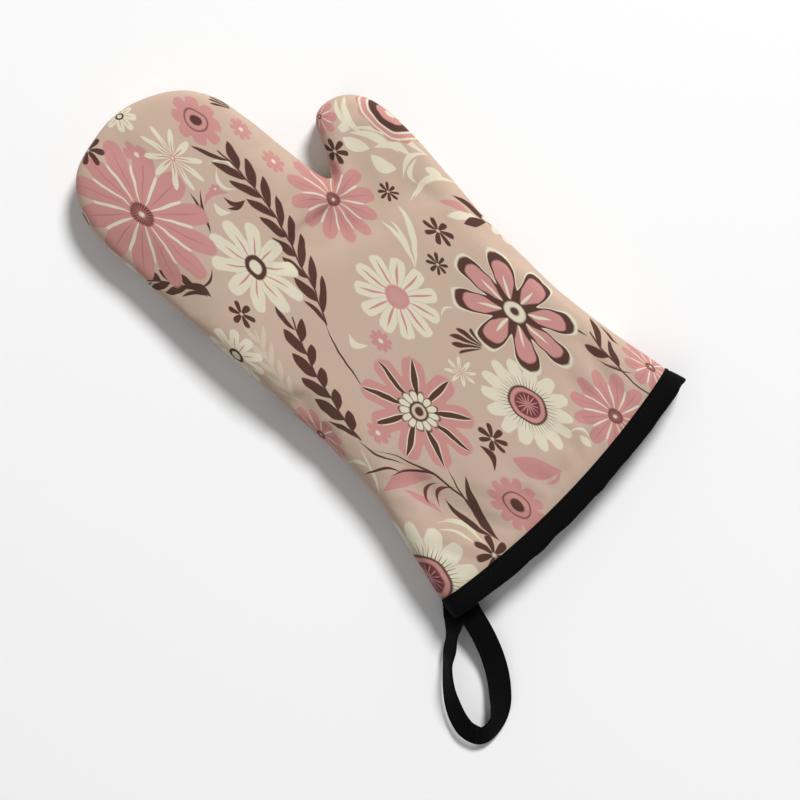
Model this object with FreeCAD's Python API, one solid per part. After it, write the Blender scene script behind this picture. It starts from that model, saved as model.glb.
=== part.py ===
import FreeCAD, Part
import math
import os

from FreeCAD import Vector

# A padded oven mitt with a thumb, a bound cuff and a hanging loop, lying flat on its back panel.
# Millimetres. X runs across the mitt towards the thumb, Y from the cuff to the fingertips, Z up.
# The pattern is drawn from the cuff line, where the print meets the binding at the side seams. The
# finished model is then moved so that its origin is on the underside at the middle of the wrist.

# ---- driving dimensions -------------------------------------------------------------------------

CUFF_WIDTH = 178.0          # side seam to side seam along the cuff line
WRIST_TO_CUFF = 90.0        # from the cuff line to the origin at the wrist
BODY_LENGTH = 318.5         # from the cuff line to the top of the finger pocket
THUMB_LENGTH = 242.5        # from the cuff line to the top of the thumb
CROTCH_X = 34.6             # where the thumb's seam and the fingers' seam would meet
CROTCH_LENGTH = 200.5
THUMB_EDGE = 87.0           # how far the thumb, the fingers and the pinky side reach from the middle
FINGER_EDGE = 27.0
PINKY_EDGE = 77.5
WRIST_THUMB_SIDE = 78.5     # the narrowest place, on each side of the middle
WRIST_PINKY_SIDE = 70.7

THICKNESS = 23.2            # the padded mitt, flat and empty
EDGE_ROUND = 9.0            # how round the padded edge is in section
CROTCH_ROUND = 2.5          # the clipped corner between thumb and fingers

SHELL_T = 0.8               # printed outer cotton
BATTING_T = 5.0             # padding in the hand
LINING_T = 0.8              # plain inner cotton
CUFF_BATTING_T = 3.0        # padding squeezed by the binding
TAPE_T = 1.0                # one leaf of the binding

MOUTH_BOW = 8.4             # the cuff line's bulge at its middle
BINDING_W = 12.5            # folded width of the binding
THREAD = 0.4                # sewing thread, square in section
SEAM_STEP = 0.4             # from a fold to the first thread beside it

STITCH_LENGTH = 2.4
STITCH_PITCH = 3.3
STITCH_W = 0.6
STITCH_T = 0.3
STITCH_INSET = 2.0          # from the binding's inner edge to its topstitching
GROOVE_PLAY = 0.05          # the needle's groove, round a stitch

LOOP_TAPE_W = 13.0
LOOP_TAPE_T = 1.2
LOOP_PAST_SEAM = 1.0        # where the loop leaves the cuff: this far outside the corner of the cuff line
LOOP_PAST_FOLD = 1.5        # and this far past the binding's width
LOOP_HEADING = 227.9        # its direction away from the cuff, degrees from +X
LOOP_STAGGER = 2.5          # each end of the tape lies this far to its own side
TAIL_SEWN_IN = 14.0         # tape behind the place where it leaves the binding
TAIL_STANDS_OUT = 1.2

BARTACK_STITCHES = 11
BARTACK_LENGTH = 3.0
BARTACK_FILL = 0.7          # a stitch's share of the pitch between stitches
BARTACK_INSET = 8.5         # from the binding's edge back to the middle of the bartack

# The loop's tape, as it lies: distance out from the root, distance across, height of the tape's
# middle, and how far it leans, in degrees. It runs from the upper end out along the pinky side,
# round the tip, and back to the lower end.
LOOP_ROUTE = [
    (4.4, -2.5, 12.2, 0.0),
    (12.0, -5.1, 11.8, 20.0),
    (24.0, -7.6, 9.8, 52.0),
    (38.0, -8.0, 8.8, 60.0),
    (50.0, -5.8, 8.0, 50.0),
    (60.6, -1.2, 7.2, 42.0),
    (65.9, 6.0, 6.8, 38.0),
    (62.6, 14.6, 6.7, 38.0),
    (53.0, 19.2, 5.9, 28.0),
    (41.0, 19.6, 4.8, 12.0),
    (30.0, 17.2, 5.0, 6.0),
    (21.0, 12.6, 6.2, 4.0),
    (12.0, 6.7, 8.7, 2.0),
    (4.4, 2.5, 11.0, 0.0),
]
LOOP_SECTIONS = 48          # along the route
EDGE_STITCH_INSET = 1.6     # from the tape's edge
EDGE_STITCH_LIFT = 0.03

# ---- values that follow -------------------------------------------------------------------------

WALL_T = SHELL_T + BATTING_T + LINING_T
CUFF_STACK = SHELL_T + CUFF_BATTING_T + LINING_T
INNER_TAPE_T = WALL_T - TAPE_T - CUFF_STACK
MID = THICKNESS / 2.0
SEAM_SPLIT = TAPE_T + SHELL_T + CUFF_BATTING_T / 2.0    # shell and lining seam allowances meet here

HALF_CUFF = CUFF_WIDTH / 2.0
MOUTH_RADIUS = (HALF_CUFF ** 2 + MOUTH_BOW ** 2) / (2.0 * MOUTH_BOW)
MOUTH_CENTRE_Y = MOUTH_RADIUS - MOUTH_BOW
CUFF_END = MOUTH_RADIUS + BINDING_W                     # outer fold of the binding
RAW_EDGE = CUFF_END - TAPE_T                            # cut ends of shell, batting and lining
LOOP_ROOT = (-HALF_CUFF - LOOP_PAST_SEAM, -BINDING_W - LOOP_PAST_FOLD)
RUN_OUT = 4.0 * BINDING_W                               # forms run past the mouth before it is cut

THUMB_FLARE = (WRIST_THUMB_SIDE - HALF_CUFF) / 58.0     # slope of each side seam at the cuff
PINKY_FLARE = (WRIST_PINKY_SIDE - HALF_CUFF) / 74.0

# Corners of the seam line, from the thumb side of the mouth round to the pinky side: x, y, radius.
OUTLINE = [
    (HALF_CUFF - THUMB_FLARE * RUN_OUT, -RUN_OUT, 0.0),
    (WRIST_THUMB_SIDE, 58.0, 150.0),
    (WRIST_THUMB_SIDE, 122.0, 300.0),
    (THUMB_EDGE, THUMB_LENGTH - 16.5, 20.0),
    (THUMB_EDGE - 32.0, THUMB_LENGTH, 10.0),
    (CROTCH_X, CROTCH_LENGTH, CROTCH_ROUND),
    (FINGER_EDGE, BODY_LENGTH - 50.5, 30.0),
    (FINGER_EDGE - 11.0, BODY_LENGTH - 17.5, 20.0),
    (FINGER_EDGE - 51.0, BODY_LENGTH, 30.0),
    (15.5 - PINKY_EDGE, BODY_LENGTH - 5.0, 14.0),
    (-PINKY_EDGE, BODY_LENGTH - 38.5, 30.0),
    (-WRIST_PINKY_SIDE, 74.0, 80.0),
    (PINKY_FLARE * RUN_OUT - HALF_CUFF, -RUN_OUT, 0.0),
]


# ---- the seam line and the forms made from it ---------------------------------------------------

def heading(a, b):
    """Direction from one pattern point to the next."""
    return math.atan2(b[1] - a[1], b[0] - a[0])


def moved(point, angle, distance):
    return (point[0] + math.cos(angle) * distance, point[1] + math.sin(angle) * distance)


def seam_edges(inset, z):
    """Lines and tangent arcs of the seam line, moved in by inset."""
    inward = math.pi / 2.0
    edges = []
    first = heading(OUTLINE[0], OUTLINE[1])
    last = moved(OUTLINE[0][:2], first + inward, inset)
    for before, corner, after in zip(OUTLINE, OUTLINE[1:], OUTLINE[2:]):
        arrive = heading(before, corner)
        leave = heading(corner, after)
        turn = math.remainder(leave - arrive, 2.0 * math.pi)
        side = math.copysign(1.0, turn)
        reach = corner[2] * math.tan(abs(turn) / 2.0)
        start = moved(moved(corner[:2], arrive, -reach), arrive + inward, inset)
        finish = moved(moved(corner[:2], leave, reach), leave + inward, inset)
        radius = corner[2] - side * inset
        middle_angle = arrive + turn / 2.0
        centre = moved(start, arrive + side * inward, radius)
        middle = moved(centre, middle_angle - side * inward, radius)
        edges.append(Part.LineSegment(Vector(*last, z), Vector(*start, z)).toShape())
        edges.append(Part.Arc(Vector(*start, z), Vector(*middle, z), Vector(*finish, z)).toShape())
        last = finish
    final = heading(OUTLINE[-2], OUTLINE[-1])
    end = moved(OUTLINE[-1][:2], final + inward, inset)
    begin = moved(OUTLINE[0][:2], first + inward, inset)
    edges.append(Part.LineSegment(Vector(*last, z), Vector(*end, z)).toShape())
    edges.append(Part.LineSegment(Vector(*end, z), Vector(*begin, z)).toShape())
    return edges


def prism(inset, low, high):
    """Straight-sided block inside the seam line."""
    face = Part.Face(Part.Wire(seam_edges(inset, low)))
    return face.extrude(Vector(0, 0, high - low))


FORMS = {}


def form(inset):
    """The padded mitt's outer form moved in by inset, with its rounded edge."""
    if inset not in FORMS:
        block = prism(inset, inset, THICKNESS - inset)
        mouth_y = -RUN_OUT / 2.0
        rims = [e for e in block.Edges
                if e.BoundBox.ZLength < 1e-6 and e.BoundBox.YMax > mouth_y]
        FORMS[inset] = block.makeFillet(EDGE_ROUND - inset, rims)
    return FORMS[inset]


def within(radius):
    """Everything on the hand's side of an arc that runs across the mouth."""
    return Part.makeCylinder(radius, 3.0 * THICKNESS, Vector(0, MOUTH_CENTRE_Y, -THICKNESS))


def slab(low, high):
    size = 4.0 * BODY_LENGTH
    return Part.makeBox(size, size, high - low, Vector(-size / 2.0, -size / 2.0, low))


def surface(hand_inset, cuff_inset, step):
    """Solid inside one face of the wall, which changes depth at the arc of radius step."""
    if cuff_inset > hand_inset:
        return form(hand_inset).common(within(step)).fuse(form(cuff_inset))
    return form(hand_inset).fuse(form(cuff_inset).cut(within(step)))


def back_of(shape):
    """The back panel's copy of a front piece."""
    return shape.mirror(Vector(0, 0, MID), Vector(0, 0, 1))


def clean(shape):
    return shape.removeSplitter()


# ---- the two panels of the hand -----------------------------------------------------------------

def wall_surfaces():
    """Outer face, shell to batting, batting to lining, and inner face."""
    inner = WALL_T - INNER_TAPE_T
    return [
        surface(0.0, TAPE_T, MOUTH_RADIUS),
        surface(SHELL_T, TAPE_T + SHELL_T, MOUTH_RADIUS - SHELL_T),
        surface(WALL_T - LINING_T, inner - LINING_T, MOUTH_RADIUS - LINING_T),
        surface(WALL_T, inner, MOUTH_RADIUS),
    ]


def seam_threads(inset):
    """Needle and bobbin thread beside a seam, on the two faces of its allowances."""
    ring = prism(inset, 0.0, THICKNESS).cut(prism(inset + THREAD, -1.0, THICKNESS + 1.0))
    ring = ring.common(within(RAW_EDGE - THREAD))
    top = MID + SHELL_T
    needle = ring.common(slab(top, top + THREAD))
    return [needle, back_of(needle)]


def panels():
    """Front shell, batting and lining, with their seam allowances turned in between the battings."""
    outer, shell_face, lining_face, hand_face = wall_surfaces()
    cut_edge = within(RAW_EDGE)
    upper = slab(MID, 2.0 * THICKNESS)
    allowance = slab(MID, MID + SHELL_T).common(cut_edge)
    middle_block = prism(SEAM_SPLIT, 0.0, THICKNESS)

    shell = outer.common(cut_edge).cut(shell_face).common(upper)
    shell_turning = shell_face.cut(middle_block).common(allowance)
    lining = lining_face.common(cut_edge).cut(hand_face).common(upper)
    lining_turning = middle_block.cut(lining_face).common(allowance)
    batting = shell_face.common(cut_edge).cut(lining_face)
    batting = batting.common(slab(MID + SHELL_T, 2.0 * THICKNESS))
    return {
        "shell": clean(shell.fuse(shell_turning)),
        "batting": clean(batting),
        "lining": clean(lining.fuse(lining_turning)),
    }


# ---- the cuff -----------------------------------------------------------------------------------

def on_arc(radius, angle, z):
    """Point on an arc across the mouth, at an angle from the middle of the cuff."""
    return Vector(radius * math.sin(angle), MOUTH_CENTRE_Y - radius * math.cos(angle), z)


def topstitch():
    """One row of stitches for the front of the binding, and the groove that they lie in."""
    radius = MOUTH_RADIUS + STITCH_INSET
    reach = math.asin((HALF_CUFF - EDGE_ROUND) / radius)
    pitch = STITCH_PITCH / radius
    count = int(reach / pitch)
    low = THICKNESS - STITCH_T - GROOVE_PLAY
    stitches = []
    for i in range(-count, count + 1):
        box = Part.makeBox(STITCH_LENGTH, STITCH_W, STITCH_T,
                           Vector(-STITCH_LENGTH / 2.0, -STITCH_W / 2.0, 0))
        box.rotate(Vector(0, 0, 0), Vector(0, 0, 1), math.degrees(i * pitch))
        box.translate(on_arc(radius, i * pitch, low))
        stitches.append(box)
    half = STITCH_W / 2.0 + GROOVE_PLAY
    last = count * pitch + STITCH_LENGTH / radius
    ends = [on_arc(radius - half, last, low), on_arc(radius + half, last, low),
            on_arc(radius + half, -last, low), on_arc(radius - half, -last, low)]
    groove = Part.Wire([
        Part.LineSegment(ends[0], ends[1]).toShape(),
        Part.Arc(ends[1], on_arc(radius + half, 0.0, low), ends[2]).toShape(),
        Part.LineSegment(ends[2], ends[3]).toShape(),
        Part.Arc(ends[3], on_arc(radius - half, 0.0, low), ends[0]).toShape(),
    ])
    return stitches, Part.Face(groove).extrude(Vector(0, 0, STITCH_T + 1.0))


def binding(groove):
    """Folded tape round the mouth: an outer leaf, an inner leaf and the fold over the cut edges."""
    band = form(0.0).common(within(CUFF_END)).cut(within(MOUTH_RADIUS)).cut(form(WALL_T))
    stack = form(TAPE_T).cut(form(WALL_T - INNER_TAPE_T)).common(within(RAW_EDGE))
    return clean(band.cut(stack).cut(groove).cut(back_of(groove)))


# ---- the hanging loop ---------------------------------------------------------------------------

def from_root(out, across, z):
    """Point in the loop's own directions: out from the cuff, across to the right, and up."""
    away = math.radians(LOOP_HEADING)
    x = LOOP_ROOT[0] + math.cos(away) * out - math.sin(away) * across
    y = LOOP_ROOT[1] + math.sin(away) * out + math.cos(away) * across
    return Vector(x, y, z)


def tape_end(across, low):
    """A flat tape end that is caught in the side seam of the cuff."""
    half = LOOP_TAPE_W / 2.0
    corners = [from_root(-TAIL_SEWN_IN, across - half, low), from_root(TAIL_STANDS_OUT, across - half, low),
               from_root(TAIL_STANDS_OUT, across + half, low), from_root(-TAIL_SEWN_IN, across + half, low)]
    return Part.Face(Part.makePolygon(corners + corners[:1])).extrude(Vector(0, 0, LOOP_TAPE_T))


def tails():
    """Upper and lower end of the loop's tape, one on the other."""
    return [tape_end(-LOOP_STAGGER, MID), tape_end(LOOP_STAGGER, MID - LOOP_TAPE_T)]


def crosswise_box(across, low, length, width, height):
    """Box over the tape ends, its length along the tape, at the bartack's distance from the edge."""
    box = Part.makeBox(length, width, height, Vector(-length / 2.0, -width / 2.0, 0))
    box.rotate(Vector(0, 0, 0), Vector(0, 0, 1), LOOP_HEADING)
    box.translate(from_root(-BARTACK_INSET, across, low))
    return box


def bartack():
    """Dense short stitches over the tape ends, on their upper and their lower face."""
    width = LOOP_TAPE_W - 2.0 * LOOP_STAGGER
    step = width / (BARTACK_STITCHES - 1)
    rows = []
    for i in range(BARTACK_STITCHES):
        across = -width / 2.0 + i * step
        for low in (MID + LOOP_TAPE_T, MID - LOOP_TAPE_T - STITCH_T):
            rows.append(crosswise_box(across, low, BARTACK_LENGTH, step * BARTACK_FILL, STITCH_T))
    return rows


def tail_pocket(ends):
    """Room for the tape ends and their bartack in the wall of the cuff."""
    height = 2.0 * (LOOP_TAPE_T + STITCH_T)
    room = crosswise_box(0.0, MID - height / 2.0, BARTACK_LENGTH, LOOP_TAPE_W, height)
    return ends[0].fuse(ends[1]).fuse(room)


def loop_sections(side, width, lift, thickness, count):
    """Rectangles across the tape: their middle lies beside its centre line and above its face."""
    spots = [from_root(out, across, z) for out, across, z, lean in LOOP_ROUTE]
    curve = Part.BSplineCurve()
    curve.interpolate(spots)
    leans = Part.BSplineCurve()
    stations = [curve.parameter(p) for p in spots]
    leans.interpolate(Points=[Vector(k, r[3], 0) for k, r in zip(stations, LOOP_ROUTE)],
                      Parameters=stations)
    sections = []
    for i in range(count + 1):
        k = curve.FirstParameter + (curve.LastParameter - curve.FirstParameter) * i / count
        along = curve.tangent(k)[0]
        level = Vector(-along.y, along.x, 0).normalize()
        lean = math.radians(leans.value(k).y)
        across = level * math.cos(lean) + Vector(0, 0, 1) * math.sin(lean)
        normal = along.cross(across).normalize()
        if normal.z < 0:
            normal = normal * -1.0
        middle = curve.value(k) + across * side + normal * lift
        a = across * (width / 2.0)
        n = normal * (thickness / 2.0)
        ring = [middle - a - n, middle + a - n, middle + a + n, middle - a + n]
        sections.append(Part.makePolygon(ring + ring[:1]))
    return sections


def hanging_loop():
    return Part.makeLoft(loop_sections(0.0, LOOP_TAPE_W, 0.0, LOOP_TAPE_T, LOOP_SECTIONS), True, True)


def edge_stitches():
    """The row that closes the folded tape along its inner edge."""
    side = LOOP_TAPE_W / 2.0 - EDGE_STITCH_INSET
    lift = (LOOP_TAPE_T + STITCH_T) / 2.0 + EDGE_STITCH_LIFT
    rings = loop_sections(side, STITCH_W, lift, STITCH_T, LOOP_SECTIONS * 4)
    starts = range(4, len(rings) - 6, 4)
    return [Part.makeLoft([rings[i], rings[i + 3]], True, True) for i in starts]


# ---- assembly -----------------------------------------------------------------------------------

def build():
    front = panels()
    back = {name: back_of(shape) for name, shape in front.items()}
    shell_threads = seam_threads(TAPE_T + SHELL_T + SEAM_STEP)
    lining_threads = seam_threads(SEAM_SPLIT + SEAM_STEP)
    threads = Part.makeCompound(shell_threads + lining_threads)
    stitches, groove = topstitch()
    ends = tails()
    pocket = tail_pocket(ends)
    nodes = {
        "front_shell": front["shell"].cut(pocket),
        "back_shell": back["shell"].cut(pocket),
        "front_batting": front["batting"].cut(threads).cut(pocket),
        "back_batting": back["batting"].cut(threads).cut(pocket),
        "front_lining": front["lining"].cut(pocket),
        "back_lining": back["lining"].cut(pocket),
        "shell_seam_thread": Part.makeCompound(shell_threads).cut(pocket),
        "lining_seam_thread": Part.makeCompound(lining_threads).cut(pocket),
        "cuff_binding": binding(groove).cut(pocket),
        "binding_topstitch_front": Part.makeCompound(stitches),
        "binding_topstitch_back": Part.makeCompound([back_of(s) for s in stitches]),
        "loop_tails": Part.makeCompound(ends),
        "loop_bartack": Part.makeCompound(bartack()),
        "hanging_loop": hanging_loop(),
        "loop_edge_stitch": Part.makeCompound(edge_stitches()),
    }
    for shape in nodes.values():
        shape.translate(Vector(0, -WRIST_TO_CUFF, 0))
    return nodes


os.makedirs("parts", exist_ok=True)
for name, shape in build().items():
    shape.exportStep("parts/" + name + ".step")
    box = shape.BoundBox
    print(f"{name:24s} solids {len(shape.Solids):3d}  volume {shape.Volume:10.1f}  valid {shape.isValid()}"
          f"  x {box.XMin:7.1f} {box.XMax:7.1f}  y {box.YMin:7.1f} {box.YMax:7.1f}"
          f"  z {box.ZMin:6.2f} {box.ZMax:6.2f}")
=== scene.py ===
# %% [markdown]
# # An oven mitt, lying flat
# The mitt is two printed cotton panels sewn face to face and turned, with padding and a lining
# behind each, a black tape folded round the mouth of the cuff, and a loop of the same tape.
# The engineering model gives the frame: its bodies, its sizes and the hinge of the loop. This
# lesson makes the cloth that is seen; every piece but the loop's tape rides on one of those bodies.

# %% Load the fixed frame
import math
import random

import bpy
import numpy as np
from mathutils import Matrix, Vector, geometry, noise


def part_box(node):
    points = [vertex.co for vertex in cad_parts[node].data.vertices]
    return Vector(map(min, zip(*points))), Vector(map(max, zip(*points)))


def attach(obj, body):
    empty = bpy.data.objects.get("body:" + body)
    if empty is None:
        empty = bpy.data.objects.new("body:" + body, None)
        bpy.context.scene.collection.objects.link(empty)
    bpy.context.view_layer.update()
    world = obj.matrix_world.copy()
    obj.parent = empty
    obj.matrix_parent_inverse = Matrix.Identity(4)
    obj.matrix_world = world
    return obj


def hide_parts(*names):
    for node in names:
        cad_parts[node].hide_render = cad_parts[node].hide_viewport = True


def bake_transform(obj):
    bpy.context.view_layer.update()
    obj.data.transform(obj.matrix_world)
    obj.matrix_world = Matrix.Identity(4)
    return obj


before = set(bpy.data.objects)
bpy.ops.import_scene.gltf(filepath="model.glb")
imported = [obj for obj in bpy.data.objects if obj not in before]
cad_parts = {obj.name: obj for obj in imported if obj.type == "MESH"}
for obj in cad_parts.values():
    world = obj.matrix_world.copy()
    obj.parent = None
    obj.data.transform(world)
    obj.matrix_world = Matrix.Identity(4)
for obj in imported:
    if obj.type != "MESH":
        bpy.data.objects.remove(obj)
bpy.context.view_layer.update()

# %% [markdown]
# ## Sizes
# All work here is in millimetres from the cuff line, where the print meets the binding at the
# side seams, and it is turned into metres in the model's frame when a mesh is made. The cuff's
# place and the mitt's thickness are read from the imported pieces, so the cloth follows them.

# %% Sizes read from the frame
MM = 0.001
band_low, band_high = [np.array(c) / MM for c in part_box("cuff_binding")]

THICK = band_high[2] - band_low[2]
MID = THICK / 2.0
SHELL_T = 0.8
BATTING_T = 5.0
LINING_T = 0.8
TAPE_T = 1.0
WALL = SHELL_T + BATTING_T + LINING_T
CUFF_STACK = 4.6                 # the wall's cloth where the binding squeezes it
MOUTH_BOW = 8.4                  # the cuff line bulges this far at its middle
BINDING_W = 12.5
HALF_CUFF = 89.0

CUFF_Y = band_low[1] + MOUTH_BOW + BINDING_W      # the cuff line, in the model's frame
MOUTH_R = (HALF_CUFF ** 2 + MOUTH_BOW ** 2) / (2.0 * MOUTH_BOW)
MOUTH_CENTRE = np.array([0.0, MOUTH_R - MOUTH_BOW])
RAW_EDGE = MOUTH_R + BINDING_W - TAPE_T
print("cuff line at y =", round(CUFF_Y, 2), "mm; mitt", round(THICK, 2), "mm thick")

# %% [markdown]
# ## The seam line
# A mitt is drawn as a paper pattern: one outline for both panels. These are the points that a
# pattern cutter would mark, from the mouth on the thumb side, round the thumb, into the clipped
# corner, round the fingers and down to the mouth again. A smooth curve through them is the seam.

# %% Pattern points of the seam, from the cuff line
SEAM = [
    (93.4, -24), (89.2, 0), (83.4, 32), (79.8, 66), (78.9, 98), (79.6, 130), (82.8, 164),
    (85.3, 194), (85.0, 211), (81.9, 223.5), (75.4, 232), (66, 236.6), (57.6, 236.6),
    (52.2, 232), (47.6, 223.6), (42.8, 215.4), (38.5, 208.6), (35.7, 206.4), (33.7, 210),
    (31.8, 222), (29.4, 242), (27.6, 262), (23.2, 283), (13.6, 298.6), (-4, 310.4),
    (-22, 315.8), (-42, 314.2), (-58.5, 309.2), (-69, 299), (-75.6, 284), (-77, 268),
    (-76, 246), (-74.8, 206), (-73, 166), (-71.2, 124), (-71, 92), (-73.8, 62), (-81, 32),
    (-89, 0), (-93.6, -24),
]
SEAM_PITCH = 3.0


def smooth_line(points, per_span=24):
    """Centripetal Catmull-Rom curve through points."""
    pts = [np.array(p, float) for p in points]
    pts = [2 * pts[0] - pts[1]] + pts + [2 * pts[-1] - pts[-2]]
    line = []
    for a, b, c, d in zip(pts, pts[1:], pts[2:], pts[3:]):
        k = [0.0]
        for p, q in ((a, b), (b, c), (c, d)):
            k.append(k[-1] + math.sqrt(max(np.linalg.norm(q - p), 1e-6)))
        for t in np.linspace(k[1], k[2], per_span, endpoint=False):
            ab = (a * (k[1] - t) + b * (t - k[0])) / (k[1] - k[0])
            bc = (b * (k[2] - t) + c * (t - k[1])) / (k[2] - k[1])
            cd = (c * (k[3] - t) + d * (t - k[2])) / (k[3] - k[2])
            abc = (ab * (k[2] - t) + bc * (t - k[0])) / (k[2] - k[0])
            bcd = (bc * (k[3] - t) + cd * (t - k[1])) / (k[3] - k[1])
            line.append((abc * (k[2] - t) + bcd * (t - k[1])) / (k[2] - k[1]))
    line.append(pts[-2])
    return np.array(line)


def run_along(line):
    """How far along a line each of its points lies."""
    return np.concatenate([[0.0], np.cumsum(np.linalg.norm(np.diff(line, axis=0), axis=1))])


def unit(rows):
    """Each row of an array as a vector of length 1."""
    return rows / np.maximum(np.linalg.norm(rows, axis=1), 1e-9)[:, None]


def even_steps(line, pitch):
    """The same line with evenly spaced points; a fourth column, such as a lean, rides along."""
    run = run_along(line[:, :3])
    count = max(2, int(round(run[-1] / pitch)) + 1)
    at = np.linspace(0.0, run[-1], count)
    return np.stack([np.interp(at, run, line[:, i]) for i in range(line.shape[1])], axis=1)


def mouth_radius(points):
    return np.linalg.norm(np.atleast_2d(points) - MOUTH_CENTRE, axis=1)


fine_seam = smooth_line(SEAM)
inside_mouth = np.where(mouth_radius(fine_seam) <= RAW_EDGE)[0]
seam = even_steps(fine_seam[inside_mouth[0]:inside_mouth[-1] + 1], SEAM_PITCH)
print("seam:", len(seam), "points, box", seam.min(0).round(1), seam.max(0).round(1))

# %% [markdown]
# ## The padded form
# A panel is modelled in two zones. Along the seam, rings of points climb from the seam's valley
# over the rounded edge; inside them the panel is filled with an even triangle mesh, which cloth
# simulation likes because it creases no way more easily than another. Each point also keeps its
# place on the flat cloth, measured along the surface, so that the print is not stretched where
# the panel rolls over its edge.

# %% Rings over the edge, and their flat positions
RING_INSET = [0.9, 0.35, 0.05, 0.0, 0.35, 1.1, 2.4, 4.2, 6.6]
RING_HEIGHT = [0.0, 0.5, 1.5, 3.0, 4.9, 6.6, 8.2, 9.5, 10.4]
CROWN_INSET = [6.6, 9.5, 13.0, 18.0, 26.0, 60.0]
CROWN_HEIGHT = [10.4, 11.0, 11.35, 11.55, MID, MID]


def normals_of(line):
    """Unit normals on the hand's side of a line that runs anticlockwise."""
    step = np.gradient(line, axis=0)
    left = np.stack([-step[:, 1], step[:, 0]], axis=1)
    for _ in range(2):
        left[1:-1] = (left[:-2] + 2.0 * left[1:-1] + left[2:]) / 4.0
    return unit(left)


inward = normals_of(seam)
section = np.array([RING_INSET, RING_HEIGHT]).T
climb = run_along(section)
flat_inset = RING_INSET[-1] - (climb[-1] - climb)
rings = [seam + inward * inset for inset in RING_INSET]
flat_rings = [seam + inward * inset for inset in flat_inset]
print("edge takes up", round(climb[-1], 1), "mm of cloth over", RING_INSET[-1], "mm of plan")

# %% Measures on the flat plan


def inside(points, loop):
    """Which points lie in a closed loop."""
    x, y = points[:, 0], points[:, 1]
    result = np.zeros(len(points), bool)
    for a, b in zip(loop, np.roll(loop, -1, axis=0)):
        crosses = (a[1] > y) != (b[1] > y)
        if crosses.any():
            edge_x = (b[0] - a[0]) * (y - a[1]) / (b[1] - a[1] + 1e-12) + a[0]
            result ^= crosses & (x < edge_x)
    return result


def distance_to(points, line):
    """Distance of each point from a line."""
    best = np.full(len(points), 1e9)
    for a, b in zip(line, line[1:]):
        run = b - a
        share = np.clip(((points - a) @ run) / (run @ run), 0.0, 1.0)
        gap = np.linalg.norm(points - a - share[:, None] * run, axis=1)
        best = np.minimum(best, gap)
    return best


def mouth_arc(radius, left_x, right_x, pitch):
    """Points across the mouth at one radius, from the pinky side to the thumb side."""
    first, last = math.asin(left_x / radius), math.asin(right_x / radius)
    count = max(2, int((last - first) * radius / pitch) + 1)
    angles = np.linspace(first, last, count)
    return MOUTH_CENTRE + radius * np.stack([np.sin(angles), -np.cos(angles)], axis=1)


# %% The field inside the rings
FIELD_PITCH = 4.0
ROW_RISE = 0.866               # rows of even triangles stand this share of the pitch apart
JITTER = 0.5
OFF_BORDER, BAND_OFF_BORDER = 0.6, 0.45        # shares of the pitch kept clear of the border
OFF_MOUTH = 3.0
MOUTH_BANDS = (-1.2, 0.4, 4.0, 8.0)            # rows that follow the mouth under the binding

inner_ring = rings[-1]
mouth_line = mouth_arc(RAW_EDGE, inner_ring[-1][0], inner_ring[0][0], FIELD_PITCH)
border = np.concatenate([inner_ring, mouth_line[1:-1]])
random.seed(4)
field = []
row = 0
y = border[:, 1].min()
while y < border[:, 1].max():
    x = border[:, 0].min() + (row % 2) * FIELD_PITCH / 2.0
    while x < border[:, 0].max():
        field.append((x + random.uniform(-JITTER, JITTER), y + random.uniform(-JITTER, JITTER)))
        x += FIELD_PITCH
    y += FIELD_PITCH * ROW_RISE
    row += 1
field = np.array(field)
closed_border = np.concatenate([border, border[:1]])


def clear_of_border(points, share):
    return inside(points, border) & (distance_to(points, closed_border) > FIELD_PITCH * share)


keep = clear_of_border(field, OFF_BORDER) & (mouth_radius(field) < MOUTH_R - OFF_MOUTH)
bands = np.concatenate([mouth_arc(MOUTH_R + off, -HALF_CUFF - 6, HALF_CUFF + 6, FIELD_PITCH)
                        for off in MOUTH_BANDS])
field = np.concatenate([field[keep], bands[clear_of_border(bands, BAND_OFF_BORDER)]])

nodes_2d = np.concatenate([border, field])
loop_edges = [(i, (i + 1) % len(border)) for i in range(len(border))]
mesh_2d = geometry.delaunay_2d_cdt([Vector(p) for p in nodes_2d], loop_edges, [], 1, 1e-5)
field_points = np.array([tuple(p) for p in mesh_2d[0]])
field_faces = [tuple(f) for f in mesh_2d[2]]
print("field:", len(field_points), "points,", len(field_faces), "triangles")

# %% Both panels as one closed form
panel_height = np.interp(distance_to(field_points, seam), CROWN_INSET, CROWN_HEIGHT)
form_points, form_flat, form_faces, form_side = [], [], [], []
form_loose = []                # how freely each point may move: the sewn edge hardly does
RING_LOOSE = [0.0, 0.05, 0.1, 0.2, 0.35, 0.5, 0.65, 0.8, 1.0]
ring_start = {}


def add_point(place, on_cloth, height, loose):
    form_points.append((place[0], place[1], height))
    form_flat.append((on_cloth[0], on_cloth[1]))
    form_loose.append(loose)


def add_rings(side):
    """Rings of one panel: the valley ring belongs to both."""
    starts = []
    for k, (ring, flat, height) in enumerate(zip(rings, flat_rings, RING_HEIGHT)):
        if k == 0 and "valley" in ring_start:
            starts.append(ring_start["valley"])
            continue
        starts.append(len(form_points))
        for p, q in zip(ring, flat):
            add_point(p, q, MID + side * height, RING_LOOSE[k])
    ring_start.setdefault("valley", starts[0])
    count = len(seam)
    for a, b in zip(starts, starts[1:]):
        for i in range(count - 1):
            quad = (a + i, a + i + 1, b + i + 1, b + i)
            form_faces.append(quad if side > 0 else quad[::-1])
            form_side.append(side)
    return starts[-1]


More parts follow.
